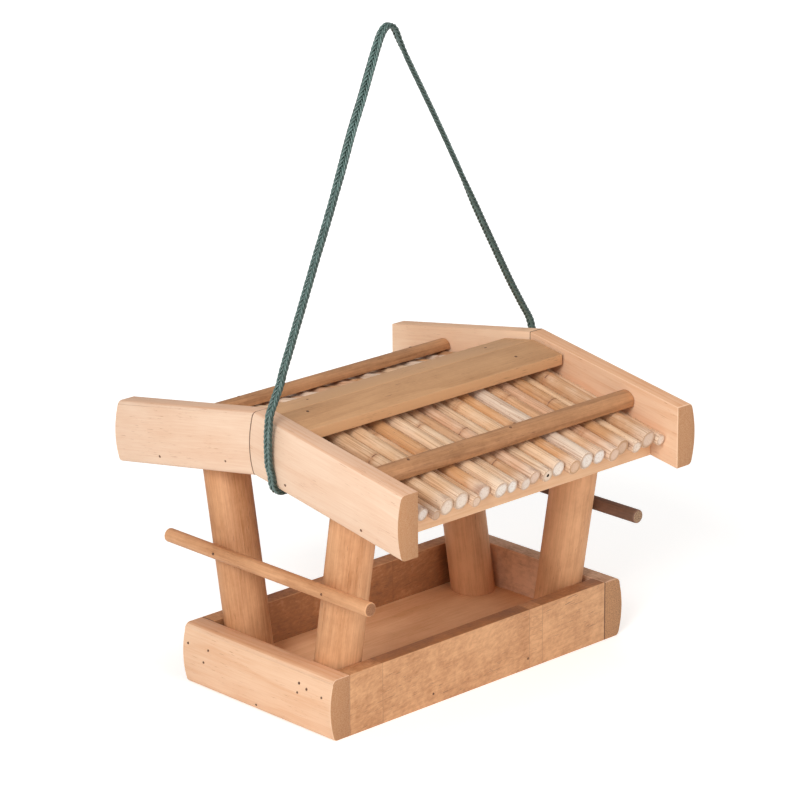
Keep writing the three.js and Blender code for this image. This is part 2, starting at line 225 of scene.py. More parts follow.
# Nails, in millimetres: (x, z) on the tray's sides, (y, z) at the left end, which the right end repeats
# turned about, (x, y) on the ridge caps, and x on the battens
TRAY_SIDE_NAILS = ((-37.4, 6.5), (37.2, 6.3))
TRAY_END_NAILS = (
    (56.7, 24.8), (39.6, 25), (43.3, 17), (-35.4, 27.3), (-41.6, 25.6), (-34.5, 21.8), (-53.7, 24.2),
    (1.6, 3.4),
)
GABLE_NAILS = ((77.8, 129.6), (21.7, 140.4), (-26.5, 138.3), (-85.6, 127.8))
PERCH_NAILS = ((40.5, 80.4), (-48.1, 80.4))
CAP_NAILS = ((-81.2, -9.7), (72.3, -16.2), (72.8, 8.7), (-64, 9.4))
BATTEN_NAILS = (("front", 6), ("back", 73.2), ("front", -71), ("back", -60))

# The height of a gable board's middle at the ridge, and the radius of a half-log face, in millimetres
GABLE_MIDDLE_AT_RIDGE = 154.8
HALF_LOG_RADIUS = 54

# Colours of the reeds' skins, and which one each reed of the front slope has, from the left
REED_SKINS = {
    "cream": "E0B68D", "tan": "D0A076", "orange": "D09A69", "pale": "DFBB97",
    "white": "E2C9B2", "rose": "D3A582", "brown": "BC8A60",
}
FRONT_REED_SKINS = [
    "tan", "rose", "brown", "cream", "cream", "tan", "orange", "pale", "pale", "tan", "rose",
    "pale", "cream", "orange", "white", "tan", "rose", "orange", "cream", "tan", "pale",
]

# Colours that several finishes or pieces share, and the point that the lamps are aimed at
# The dark of joints and seams, which in the ridge's seam is painted shade
SEAM_DARK = "5A3722"
BARE_PITH = "F1ECE6"
LAMP_AIM = Vector((0, 0, 0.13))


def linear(hex_colour):
    """A colour as it looks on a screen, such as "F3D5B8", as the linear values that shaders use."""
    parts = [int(hex_colour[i : i + 2], 16) / 255 for i in (0, 2, 4)]
    return tuple(c / 12.92 if c <= 0.04045 else ((c + 0.055) / 1.055) ** 2.4 for c in parts) + (1,)


def place_camera():
    """The camera stands where the photograph was taken from."""
    azimuth, elevation, roll = math.radians(-43.47), math.radians(17.8), math.radians(-0.47)
    target = Vector((9.44, 13.27, 149.22)) * MM
    distance = 2035.36 * MM
    focal_pixels, frame_pixels, sensor = 3619.17, 800, 36
    back = Vector((
        math.sin(azimuth) * math.cos(elevation),
        -math.cos(azimuth) * math.cos(elevation),
        math.sin(elevation),
    ))
    camera = bpy.data.objects.new("camera", bpy.data.cameras.new("camera"))
    camera.data.sensor_width = sensor
    camera.data.lens = focal_pixels / frame_pixels * sensor
    camera.data.clip_end = 50
    turn = back.to_track_quat("Z", "Y").to_matrix().to_4x4() @ Matrix.Rotation(roll, 4, "Z")
    camera.matrix_world = Matrix.Translation(target + back * distance) @ turn
    bpy.context.collection.objects.link(camera)
    bpy.context.scene.camera = camera


class Wire:
    """A shader socket that can be used in sums, so that a pattern reads as an expression."""

    def __init__(self, tree, socket):
        self.tree = tree
        self.socket = socket

    def maths(self, operation, *others):
        inputs = dict(enumerate((self, *others)))
        return add_node(self.tree, "ShaderNodeMath", {"operation": operation}, inputs)

    def __add__(self, other):
        return self.maths("ADD", other)

    __radd__ = __add__

    def __mul__(self, other):
        return self.maths("MULTIPLY", other)

    __rmul__ = __mul__

    def __sub__(self, other):
        return self.maths("SUBTRACT", other)

    def __rsub__(self, other):
        return (self * -1) + other

    def __pow__(self, other):
        return self.maths("POWER", other)

    def above(self, limit):
        return self.maths("GREATER_THAN", limit)

    def clamped(self):
        return add_node(self.tree, "ShaderNodeClamp", {}, {"Value": self})


def join(tree, value, slot):
    """Links a wire to a node's socket, or sets the socket to a plain value."""
    if isinstance(value, Wire):
        tree.links.new(value.socket, slot)
    else:
        slot.default_value = value


def add_node(tree, kind, settings, inputs, output=0):
    """Adds a shader node, gives its sockets their values or wires, and returns one of its outputs."""
    node = tree.nodes.new(kind)
    for key, value in settings.items():
        setattr(node, key, value)
    for key, value in inputs.items():
        join(tree, value, node.inputs[key])
    return Wire(tree, node.outputs[output])


class Finish:
    """A material under construction, on one principled shader."""

    def __init__(self, name):
        self.material = bpy.data.materials.new(name)
        self.material.use_nodes = True
        self.tree = self.material.node_tree
        self.shader = self.tree.nodes["Principled BSDF"]

    def node(self, kind, settings, inputs, output=0):
        return add_node(self.tree, kind, settings, inputs, output)

    def set(self, **values):
        for key, value in values.items():
            join(self.tree, value, self.shader.inputs[key.replace("_", " ").title()])

    def noise(self, vector, scale, detail=3, roughness=0.5):
        inputs = {"Vector": vector, "Scale": scale, "Detail": detail, "Roughness": roughness}
        return self.node("ShaderNodeTexNoise", {}, inputs, "Fac")

    def streaks(self, place, along, across, detail=3, roughness=0.6):
        """Noise that is drawn out along the grain, given how fine it is along the log and across it."""
        x, y, z = place
        return self.noise(self.vector(x * along, y * across, z * across), 1, detail, roughness)

    def ramp(self, factor, low, high):
        """0 below low and 1 above high, with a smooth rise between them."""
        settings = {"interpolation_type": "SMOOTHSTEP"}
        inputs = {"Value": factor, "From Min": low, "From Max": high}
        return self.node("ShaderNodeMapRange", settings, inputs)

    def mix(self, factor, first, second):
        colours = {0: factor, 6: first, 7: second}
        return self.node("ShaderNodeMix", {"data_type": "RGBA"}, colours, 2)

    def attribute(self, name):
        return self.node("ShaderNodeAttribute", {"attribute_name": name}, {}, "Vector")

    def parts(self, vector):
        separated = self.node("ShaderNodeSeparateXYZ", {}, {0: vector})
        return [Wire(self.tree, socket) for socket in separated.socket.node.outputs]

    def vector(self, x, y, z):
        return self.node("ShaderNodeCombineXYZ", {}, {"X": x, "Y": y, "Z": z})

    def bump(self, height, strength, distance):
        inputs = {"Height": height, "Strength": strength, "Distance": distance}
        return self.node("ShaderNodeBump", {}, inputs, "Normal")


def wood(name, light, dark, mark, end, rings, ring_gap, mottle, sawn, marks):
    """Wood whose growth rings are shells round a pith, so long faces show lines and ends show arcs.

    Its colours are those of light and dark wood, of its marks and of its cut ends. rings, mottle and marks
    say how strongly each shows, and sawn how rough the saw has left it. All patterns are in millimetres.
    """
    finish = Finish(name)
    place = finish.parts(finish.attribute("grain"))
    along, across, deep = place
    shade, cut, edge = finish.parts(finish.attribute("finish"))
    wear, seam_darkness = edge.clamped(), (edge * -1).clamped()
    # Growth rings that wander by up to a few millimetres, each pale first and dark at its end
    wander = (finish.streaks(place, 0.008, 0.05, 2, 0.5) - 0.5) * 8
    radius = (across ** 2 + deep ** 2) ** 0.5 + wander
    wave = (radius * (1 / ring_gap)).maths("FRACT")
    ring = finish.ramp(wave, 0.3, 0.9) * (1 - finish.ramp(wave, 0.9, 1.0))
    # Fibres, hairs, blotches and pores of the wood, and bands and slanting chips from the saw
    fibre = finish.streaks(place, 0.04, 1.1, 4)
    hair = finish.streaks(place, 0.12, 2.3, 2)
    blotch = finish.streaks(place, 0.022, 0.06, 3, 0.55)
    pore = finish.streaks(place, 0.3, 1.7, 3, 0.7)
    band = finish.streaks(place, 0.09, 0.04, 3, 0.7)
    chips = finish.vector(along * 0.26 + across * 0.12, across * 0.5 - along * 0.15, deep * 0.45)
    saw = finish.noise(chips, 1, 4, 0.7)
    # The wood goes from its light colour at a depth of 0 to its dark one at 1, and on to its marks
    depth = 0.32 + ring * rings + (fibre - 0.5) * (0.35 + mottle) * (1 - sawn) + (blotch - 0.5) * mottle * 2
    # The face's shade adds to the depth; on some faces and pieces it is painted light and shade
    depth = depth + ((saw - 0.5) * 2.6 + (band - 0.5) * 1.8) * sawn + shade
    colour = finish.mix(depth.clamped(), linear(light), linear(dark))
    colour = finish.mix((depth - 1).clamped(), colour, linear(mark))
    dash = finish.ramp(hair, 0.62, 0.74) * finish.ramp(blotch, 0.42, 0.6) * marks
    colour = finish.mix(dash, colour, linear(mark))
    # Cut ends show pores and worn edges are light; joints hold grime, and seams are darkened: painted shade
    # at the ridge
    end_depth = (ring * 0.08 + finish.ramp(pore, 0.4, 0.62) * 0.6 + shade).clamped()
    colour = finish.mix(cut, colour, finish.mix(end_depth, linear(end), linear(mark)))
    colour = finish.mix(wear * 0.35, colour, linear(light))
    colour = finish.mix(seam_darkness * 0.85, colour, linear(SEAM_DARK))
    height = fibre * 0.5 + hair * 0.3 + saw * sawn - ring * 0.15 + pore * cut * 0.8
    finish.set(
        base_color=colour,
        roughness=(0.56 + fibre * 0.16 + cut * 0.15 - wear * 0.08).clamped(),
        normal=finish.bump(height, 0.35, 0.22 * MM),
    )
    return finish.material


def reed_finish():
    """Dry reed: a fine-lined skin with a brown knuckle and paler tips, and soft pale pith where it is cut.

    The attribute "place" holds the distances to the knuckle and to the tip, in millimetres, and where the
    reed is cut: 0 on the skin, 0.5 at the rim of the end, 1 in its middle, and 2 in a hollow.
    """
    finish = Finish("reed")
    place = finish.parts(finish.attribute("grain"))
    from_knuckle, from_tip, cut = finish.parts(finish.attribute("place"))
    skin = finish.attribute("skin")
    line = finish.streaks(place, 0.025, 1.6)
    patch = finish.streaks(place, 0.06, 0.14)
    speck = finish.streaks(place, 0.5, 1.2, 3, 0.65)
    # The skin has pale patches, a pale tip and brown lines
    colour = finish.mix(finish.ramp(patch, 0.4, 0.75) * 0.35, skin, linear("F3DABF"))
    colour = finish.mix((1 - finish.ramp(from_tip, 1, 13)) * 0.45, colour, linear("F1DECA"))
    colour = finish.mix(finish.ramp(line, 0.45, 0.68) * 0.62, colour, linear("9E6A42"))
    # It is browner near the knuckle, with a dark crease in it, brown specks and stains near the tip
    near = 1 - finish.ramp(from_knuckle.maths("ABSOLUTE"), 0.2, 5)
    colour = finish.mix(near * near * 0.45, colour, linear("A86E42"))
    crease = 1 - finish.ramp(from_knuckle.maths("ABSOLUTE"), 0.15, 0.6)
    colour = finish.mix(crease * finish.ramp(patch, 0.48, 0.62) * 0.8, colour, linear("6A4026"))
    colour = finish.mix(finish.ramp(speck, 0.64, 0.71) * 0.6, colour, linear("8A5836"))
    stain = (1 - finish.ramp(from_tip, 0.5, 7)) * finish.ramp(patch, 0.5, 0.64)
    colour = finish.mix(stain * 0.6, colour, linear("8F6250"))
    # The cut end shows pith inside a tan rim, and the inside of a hollow is painted near black as painted
    # shade
    on_end = ((cut - ON_CUT_END) * 4).clamped()
    rim = 1 - finish.ramp(cut + (patch - 0.5) * 0.35, 0.5, 0.74)
    pith = finish.mix(finish.ramp(speck, 0.45, 0.7) * 0.45, skin, linear("BC9272"))
    pith = finish.mix(rim * 0.65, pith, linear("A8743F"))
    colour = finish.mix(on_end, colour, pith)
    colour = finish.mix(cut.above(1.5), colour, linear("2B1C12"))
    finish.set(
        base_color=colour,
        roughness=(0.4 + line * 0.2 + on_end * 0.35).clamped(),
        normal=finish.bump(line + speck * on_end, 0.25, 0.15 * MM),
    )
    return finish.material


def cord_finish():
    """Plaited cord: painted highlights on the strands' crowns, and painted shade where they dive under."""
    finish = Finish("green_cord")
    place = finish.node("ShaderNodeTexCoord", {}, {}, "Object")
    relief, crown, strand = finish.parts(finish.attribute("plait"))
    thread = finish.noise(place, 1900, 2, 0.6)
    wear = finish.noise(place, 160, 2, 0.5)
    # Painted highlight along the strands' crowns, varied by noise and by each strand's own shade, and
    # painted shade deep in the plait
    light = finish.ramp(crown, 0.3, 0.95) * finish.ramp(relief, 0.25, 0.7) * (0.3 + thread * 0.7)
    light = (light + (wear - 0.5) * 0.5 + strand * 0.3 - 0.1).clamped()
    colour = finish.mix(finish.ramp(relief, 0.25, 0.7), linear("20302A"), linear("2D423B"))
    colour = finish.mix(light, colour, linear("64807A"))
    finish.set(
        base_color=colour,
        roughness=(0.24 + thread * 0.3).clamped(),
        normal=finish.bump(thread, 0.4, 0.12 * MM),
        coat_weight=0.4,
        coat_roughness=0.22,
    )
    return finish.material


def nail_finish():
    finish = Finish("nail_head")
    place = finish.node("ShaderNodeTexCoord", {}, {}, "Object")
    rust = finish.noise(place, 900, 3, 0.6)
    finish.set(
        base_color=finish.mix(finish.ramp(rust, 0.35, 0.7), linear("4A3428"), linear("8A5B3C")),
        metallic=0.2,
        roughness=(0.45 + rust * 0.3).clamped(),
    )
    return finish.material


def make_materials():
    return {
        "half_log": wood(
            "pale_half_log", "F3D6BC", "DBA782", "B0734A", "BE9068",
            rings=0.14, ring_gap=3.4, mottle=0.3, sawn=0, marks=0.75,
        ),
        "warm_half_log": wood(
            "warm_half_log", "F4CFAE", "D99D70", "A86C45", "BE9068",
            rings=0.18, ring_gap=3.4, mottle=0.3, sawn=0, marks=0.75,
        ),
        "board": wood(
            "board_wood", "DFAA7C", "A87046", "6E4C38", "BC8A60",
            rings=0.1, ring_gap=1.7, mottle=0.5, sawn=0.5, marks=1.2,
        ),
        "aged": wood(
            "aged_board", "F2C8A8", "B48A6A", "7C5844", "C08E62",
            rings=0.1, ring_gap=1.7, mottle=0.5, sawn=0.5, marks=1,
        ),
        "floor": wood(
            "floor_board", "F4C499", "D09463", "94603C", "A9744A",
            rings=0.12, ring_gap=3.6, mottle=0.6, sawn=0.1, marks=0.5,
        ),
        "turned": wood(
            "turned_wood", "E6AE80", "AA7043", "74482A", "A87450",
            rings=0.1, ring_gap=4.5, mottle=0.7, sawn=0.14, marks=0.9,
        ),
        "deck": wood(
            "deck_board", "F0C49C", "D49C6C", "7C4E30", "D9A878",
            rings=0.15, ring_gap=3, mottle=0.4, sawn=0.05, marks=0.3,
        ),
        "dark": wood(
            "dark_wood", "D09F72", "A8774D", "7C5233", "A87A50",
            rings=0.22, ring_gap=3, mottle=0.4, sawn=0.15, marks=0.9,
        ),
        "rod": wood(
            "rod_wood", "C48E62", "825632", "5C3A26", "A27650",
            rings=0.2, ring_gap=2.2, mottle=0.7, sawn=0.2, marks=0.8,
        ),
        "brown_rod": wood(
            "brown_rod_wood", "886350", "5A4132", "4A3224", "C09A78",
            rings=0.2, ring_gap=2.2, mottle=0.6, sawn=0.2, marks=0.7,
        ),
        "reed": reed_finish(),
        "cord": cord_finish(),
        "nail": nail_finish(),
    }


def make_piece(name, bm, material, replaces=()):
    """Turns a finished bmesh into a piece that rides on the table and stands for some CAD nodes."""
    bmesh.ops.recalc_face_normals(bm, faces=bm.faces)
    mesh = bpy.data.meshes.new(name)
    bm.to_mesh(mesh)
    bm.free()
    mesh.shade_smooth()
    mesh.set_sharp_from_angle(angle=SMOOTH_ANGLE)
    mesh.materials.append(material)
    piece = bpy.data.objects.new(name, mesh)
    bpy.context.collection.objects.link(piece)
    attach(piece, "table")
    if replaces:
        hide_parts(*replaces)
    return piece


def lay_grain(
    piece, along, across, pith, seed, joints=(), shades=(0.0,), slants=(0.0,), facing=(), in_seam=None,
):
    """Tells every face corner where it lies in its log, in millimetres, and how its face is finished.

    Joints part the board into blocks from different logs, and a block's grain may run at a slant. The
    finish is the face's shade, whether it is end grain, and its edge: 1 where it is worn, and below 0
    where a seam or a joint is darkened. in_seam gives how dark a place in a seam is made. Faces that look
    a given way also take that way's painted light and shade, block by block.
    """
    mesh = piece.data
    deep = along.cross(across).normalized()
    draw = random.Random(seed)
    logs = [Vector((draw.uniform(0, 4000), draw.uniform(-9, 9), draw.uniform(-9, 9))) for _ in shades]
    worn = mesh.attributes["worn"].data
    grain = mesh.attributes.new("grain", "FLOAT_VECTOR", "CORNER")
    finish = mesh.attributes.new("finish", "FLOAT_VECTOR", "CORNER")
    for face in mesh.polygons:
        block = sum(face.center.dot(along) > joint for joint in joints)
        cut = 1.0 if abs(face.normal.dot(along)) > END_GRAIN_FACING else 0.0
        shade = shades[block]
        # Painted light and shade: a face that looks a given way takes that way's shade, darker above 0 and
        # lighter below
        for way, extra in facing:
            if face.normal.dot(way) > WAY_FACING:
                shade += extra[block % len(extra)]
        edge = worn[face.index].value
        if in_seam and (edge or cut):
            edge = -in_seam(face.center) or edge
        if any(abs(face.center.dot(along) - joint) < JOINT_LINE for joint in joints):
            edge = -JOINT_GRIME
        for corner in face.loop_indices:
            here = (mesh.vertices[mesh.loops[corner].vertex_index].co - pith) / MM
            slant = slants[block % len(slants)] * here.dot(along)
            place = Vector((here.dot(along), here.dot(across) - slant, here.dot(deep)))
            grain.data[corner].vector = place + logs[block]
            finish.data[corner].vector = (shade, cut, edge)


def merged_copy(node):
    """A bmesh of a CAD node with its loose triangles merged and its flat faces made whole."""
    bm = bmesh.new()
    bm.from_mesh(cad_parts[node].data)
    bmesh.ops.remove_doubles(bm, verts=bm.verts, dist=DOUBLE_POINTS)
    bmesh.ops.dissolve_limit(bm, angle_limit=math.radians(0.5), verts=bm.verts, edges=bm.edges)
    return bm


def bevel(bm, edges, width, segments):
    return bmesh.ops.bevel(
        bm, geom=edges, offset=width, offset_type="OFFSET", segments=segments,
        affect="EDGES", profile=0.5, material=-1, clamp_overlap=True,
    )


def is_sharp(edge):
    return edge.is_manifold and edge.calc_face_angle() > EDGE_ANGLE


def soften(bm, width, segments=3):
    """Eases every sharp edge and marks its new faces as worn."""
    worn = bm.faces.layers.float.new("worn")
    bevelled = bevel(bm, [edge for edge in bm.edges if is_sharp(edge)], width, segments)
    for face in bevelled["faces"]:
        face[worn] = 1.0


def middle(node):
    low, high = (Vector(corner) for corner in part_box(node))
    return (low + high) / 2


def bay_side():
    """How far from the middle the gables' inner faces lie."""
    return -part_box("gable_front_left")[1][0]


def round_outer_edges(bm, upper, lower):
    """Rounds the two long edges of a half-log board where its curved face meets its top and underside."""
    for width, upward in ((upper, 1), (lower, -1)):
        edges = [
            edge for edge in bm.edges
            if is_sharp(edge) and edge.calc_length() > LONG_EDGE
            and all(abs(vert.co.x) > HALF_LOG_CORNER for vert in edge.verts)
            and max(face.normal.z * upward for face in edge.link_faces) > LEVEL_FACING
        ]
        bevel(bm, edges, width * MM, 4)


def close_ridge_seam(bm):
    """Draws a gable board's inner edge up to its neighbour's, so that no light falls through the seam."""
    for vert in bm.verts:
        if abs(vert.co.y) < CLEARANCE and abs(vert.co.x) < bay_side() + CLEARANCE:
            vert.co.y *= INNER_GAP_SHARE


def cut_across(bm, point, way, **cut):
    """Splits all faces of a bmesh at a plane."""
    parts = bm.verts[:] + bm.edges[:] + bm.faces[:]
    return bmesh.ops.bisect_plane(bm, geom=parts, plane_co=point, plane_no=way, **cut)


def board(
    node, finish, slot, along, across, pith_offset, seed, softness=0.4, joints=(), rounding=None, **shading,
):
    """A sawn board in a CAD node's place, with eased edges and its own stretch of log, in millimetres."""
    bm = merged_copy(node)
    if node.startswith("gable"):
        close_ridge_seam(bm)
    if rounding:
        round_outer_edges(bm, *rounding)
    soften(bm, softness * MM)
    for joint in joints:
        for rim in (joint - JOINT_LINE, joint + JOINT_LINE):
            cut_across(bm, along * rim, along)
    piece = make_piece(node + "_wood", bm, finish, replaces=[node])
    lay_grain(piece, along, across, middle(node) + Vector(pith_offset) * MM, seed, joints, **shading)
    return piece


def slope_down(sign, pitch):
    """The way down a roof slope, away from the ridge."""
    return Vector((0, sign * math.cos(pitch), -math.sin(pitch)))


def slope_up(sign, pitch):
    """The way up, square to a roof slope."""
    return Vector((0, sign * math.sin(pitch), math.cos(pitch)))


def make_tray(materials):
    side_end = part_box("tray_side_front")[1][0]
    board("tray_floor", materials["floor"], "board_wood", X_AXIS, Y_AXIS, (0, 20, -70), 1)
    board(
        "tray_side_front", materials["board"], "board_wood", X_AXIS, Z_AXIS, (0, 60, 30), 2,
        joints=TRAY_SIDE_JOINTS, shades=(0.1, 0.0, -0.05, -0.08), slants=(0.12, 0.08, 0.0, 0.06),
        # Painted shade on the top faces, with a tone that differs block by block
        facing=[(Z_AXIS, (0.3, 0.85, 0.5, 0.7))],
        in_seam=lambda spot: (1.0 if spot.x > 0 else LEFT_SEAM_DARK) * (abs(spot.x) > side_end - SIDE_SEAM),
    )
    board(
        "tray_side_back", materials["board"], "board_wood", X_AXIS, Z_AXIS, (0, -60, 12), 3,
        joints=TRAY_SIDE_JOINTS[:2], shades=(0.1, 0.2, 0.12), slants=(0.05, -0.04, 0.08),
        # Painted shade on the top face and on the inner face, which lies in shade under the roof
        facing=[(Z_AXIS, (0.25,)), (-Y_AXIS, (0.5,))],
        in_seam=lambda spot: abs(spot.x) > side_end - SIDE_SEAM,
    )
    board(
        "tray_end_left", materials["warm_half_log"], "pale_half_log", Y_AXIS, X_AXIS, (45, 0, -8), 3,
        # Painted shade on the top face
        rounding=(2.6, 2.0), facing=[(Z_AXIS, (0.35,))],
    )
    board(
        "tray_end_right", materials["aged"], "pale_half_log", Y_AXIS, X_AXIS, (-45, 0, -8), 5,
        # Painted shade on the top face, and painted light on the inner face, which lies in shade
        rounding=(2.6, 2.0), facing=[(Z_AXIS, (0.4,)), (-X_AXIS, (-0.12,))],
        in_seam=lambda spot: spot.x < side_end + END_SEAM and abs(spot.y) > END_SEAM_START,
    )


def make_gables(materials):
    for end, x_sign in ENDS.items():
        for side, y_sign in SIDES.items():
            along = slope_down(y_sign, GABLE_PITCH)
            kind = "half_log" if end == "left" else "warm_half_log"
            # Painted light: the back right board is made lighter all over, where it lies in shade
            shade = BACK_RIGHT_GABLE_PAINTED_LIGHT if (side, end) == ("back", "right") else 0.0
            board(
                f"gable_{side}_{end}", materials[kind], "pale_half_log", along, X_AXIS,
                (-x_sign * 50, 0, 6 * y_sign), 10 + 2 * x_sign + y_sign,
                # Painted shade on the top faces
                softness=0.5, rounding=(3.8, 2.0), shades=(shade,), facing=[(Z_AXIS, (0.35,))],
                # Painted shade: the faces in the ridge seam are darkened, so that the gap between the boards
                # looks shadowed
                in_seam=lambda spot: abs(spot.y) < RIDGE_SEAM,
            )


def rod(radius, length, sides, centre, turn):
    """A bmesh of a plain round rod that stands along Z before it is turned and put in its place."""
    bm = bmesh.new()
    bmesh.ops.create_cone(
        bm, cap_ends=True, segments=sides, radius1=radius, radius2=radius, depth=length,
    )
    bmesh.ops.transform(bm, matrix=Matrix.Translation(centre) @ turn, verts=bm.verts)
    return bm


def make_posts(materials):
    """Turned posts that lean outwards, with a level foot and a top cut to the roof's slope."""
    for side, sign in SIDES.items():
        for end in ENDS:
            node = f"post_{side}_{end}"
            low, high = (Vector(corner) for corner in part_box(node))
            radius = (high.x - low.x) / 2
            inner = low.y if sign > 0 else high.y
            foot = Vector(((low.x + high.x) / 2, inner + sign * radius / math.cos(POST_LEAN), low.z))
            axis = slope_up(sign, POST_LEAN)
            length = high.z - low.z + 4 * radius
            centre = foot + axis * (length / 2 - 1.5 * radius)
            turn = Z_AXIS.rotation_difference(axis).to_matrix().to_4x4()
            bm = rod(radius, length, POST_SIDES, centre, turn)
            trim(bm, foot, -Z_AXIS)
            trim(bm, highest_point(node), slope_up(sign, DECK_PITCH))
            soften(bm, 0.5 * MM, segments=2)
            piece = make_piece(node + "_wood", bm, materials["turned"], replaces=[node])
            pith = foot + Vector((4 * sign, 2, 0)) * MM
            seed = 20 + 2 * sign + ENDS[end]
            # Painted light and shade: each post is made darker, or lighter, as a whole
            lay_grain(piece, axis, X_AXIS, pith, seed, shades=(POST_PAINTED_SHADES[side, end],))


def highest_point(node):
    """The highest point of a CAD node."""
    return max(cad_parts[node].data.vertices, key=lambda vertex: vertex.co.z).co.copy()


def trim(bm, point, outward):
    """Cuts away what lies beyond a plane and closes the cut."""
    cut = cut_across(bm, point, outward, clear_outer=True)
    rim = [part for part in cut["geom_cut"] if isinstance(part, bmesh.types.BMEdge)]
    bmesh.ops.contextual_create(bm, geom=rim)


def make_perches(materials):
    for end, sign in ENDS.items():
        node = f"perch_{end}"
        low, high = (Vector(corner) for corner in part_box(node))
        turn = Matrix.Rotation(math.pi / 2, 4, "X")
        bm = rod((high.x - low.x) / 2, high.y - low.y, PERCH_SIDES, middle(node), turn)
        soften(bm, 0.7 * MM)
        kind = "turned" if end == "left" else "brown_rod"
        piece = make_piece(node + "_wood", bm, materials[kind], replaces=[node])
        pith = middle(node) + Vector((3, 0, 2)) * MM
        lay_grain(piece, Y_AXIS, X_AXIS, pith, 30 + sign, shades=(PERCH_SHADES[end],))


def make_roof_boards(materials):
    for side, sign in SIDES.items():
        board(
            f"roof_deck_{side}", materials["deck"], "deck_board", X_AXIS, slope_down(sign, DECK_PITCH),
            # Painted shade: the deck's top under the reeds is darkened, so that the gaps between reeds look
            # deep
            (0, 10, -60), 40 + sign, facing=[(slope_up(sign, DECK_PITCH), (1.5,))],
        )
        board(
            f"ridge_cap_{side}", materials["dark"], "dark_wood", X_AXIS, Y_AXIS, (0, 8, -50), 43 + sign,
            # Each cap's outer edge face gets painted light. The back cap is lighter all over.
            0.3, shades=(-0.5 if side == "back" else 0.0,), facing=[(Y_AXIS * sign, (-0.5,))],
        )
        board(f"batten_{side}", materials["rod"], "dark_wood", X_AXIS, Y_AXIS, (0, 6, -14), 46 + sign)


def reed_row(width_shares, in_pairs):
    """Reeds of unlike widths side by side, singly or in joined pairs, that just fill the bay."""
    across = gaps = 0
    places = []
    for i, share in enumerate(width_shares):
        joined = in_pairs and i % 2 == 1
        step = share / 2 if i == 0 else math.sqrt(width_shares[i - 1] * share)
        across += step * JOINED_REED_SHARE if joined else step
        gaps += 0 if joined else CLEARANCE
        places.append((share, across, gaps))
    unit = (2 * bay_side() - gaps - CLEARANCE) / (across + width_shares[-1] / 2)
    return [
        {
            "radius": share * unit / 2,
            "x": along * unit + spare - bay_side(),
            "knuckle": REED_KNUCKLE_SHARES[i % len(REED_KNUCKLE_SHARES)],
            "end": REED_END_SHARES[i % len(REED_END_SHARES)] * REED_STAGGER,
        }
        for i, (share, along, spare) in enumerate(places)
    ]


def reed_outline(reed, length, draw, hollow):
    """Half of a reed's section, as pairs of a radius and a height, and the radius of its core."""
    radius = reed["radius"]
    shoulder = radius * REED_SHOULDER_SHARE
    tip = radius * REED_TIP_SHARE
    knuckle = length * reed["knuckle"]
    outline = [(0, 0), (shoulder - REED_CHAMFER, 0), (shoulder, REED_CHAMFER)]
    for i in range(1, REED_WAISTS):
        reach = length * i / REED_WAISTS
        if abs(reach - knuckle) > WAIST_TO_KNUCKLE:
            taper = shoulder + (tip - shoulder) * i / REED_WAISTS
            outline.append((taper * draw.uniform(0.985, 1.012), reach))
    outline += [(radius * share, knuckle + reach) for share, reach in KNUCKLE_OUTLINE]
    outline.sort(key=lambda point: point[1])
    core = tip * draw.uniform(0.2, 0.3)
    outline += [(tip, length - REED_CHAMFER), (tip - REED_CHAMFER, length)]
    outline.append((tip * PITH_EDGE_SHARE, length + PITH_RELIEF))
    if hollow:
        outline += [(core, length), (core * HOLLOW_TAPER_SHARE, length - HOLLOW_WALL)]
        outline.append((0, length - HOLLOW_DEPTH))
    else:
        outline += [(core, length - PITH_RELIEF), (0, length - PITH_DIP)]
    return outline, core


def reed_stalk(reed, length, hollow, draw):
    """One reed along +Z from the origin: a slightly crooked stalk with a knuckle and a cut end."""
    outline, core = reed_outline(reed, length, draw, hollow)
    bm = bmesh.new()
    points = [bm.verts.new((r, 0, z)) for r, z in outline]
    edges = [bm.edges.new(pair) for pair in zip(points, points[1:])]
    bmesh.ops.spin(
        bm, geom=points + edges, cent=(0, 0, 0), axis=Z_AXIS, angle=2 * math.pi, steps=REED_SIDES,
        use_merge=True,
    )
    bmesh.ops.remove_doubles(bm, verts=bm.verts, dist=DOUBLE_POINTS)
    mark_places(bm, reed, length, core if hollow else 0)
    crook = draw.uniform(-0.3, 0.3) * MM
    slant = draw.uniform(-0.06, 0.06)
    for vert in bm.verts:
        vert.co.x += crook * math.sin(math.pi * vert.co.z / length)
        if vert.co.z > length - SLANTED_END:
            vert.co.z += vert.co.y * slant
    return bm


def mark_places(bm, reed, length, hollow_radius):
    """Tells every corner of a reed how far it is from the knuckle and from the tip, and how it is cut."""
    place = bm.loops.layers.float_vector.new("place")
    knuckle = length * reed["knuckle"]
    tip = reed["radius"] * REED_TIP_SHARE
    for face in bm.faces:
        centre = face.calc_center_median()
        for loop in face.loops:
            here = loop.vert.co
            share = here.xy.length / tip
            cut = 0.0
            if centre.z > length - END_FACE_DEPTH and share < 1.01 and face.normal.z != 0:
                cut = 1 - 0.5 * min(share, 1)
            if centre.z > length - HOLLOW_DEPTH and centre.xy.length < hollow_radius:
                cut = 2.0
            loop[place] = Vector(((here.z - knuckle) / MM, (length - here.z) / MM, cut))


def add_bmesh(whole, bm):
    """Adds one bmesh to another. Returns the numbers of its first face and of the one after its last."""
    part = bpy.data.meshes.new("part")
    bm.to_mesh(part)
    bm.free()
    first = len(whole.faces)
    whole.from_mesh(part)
    bpy.data.meshes.remove(part)
    return first, len(whole.faces)


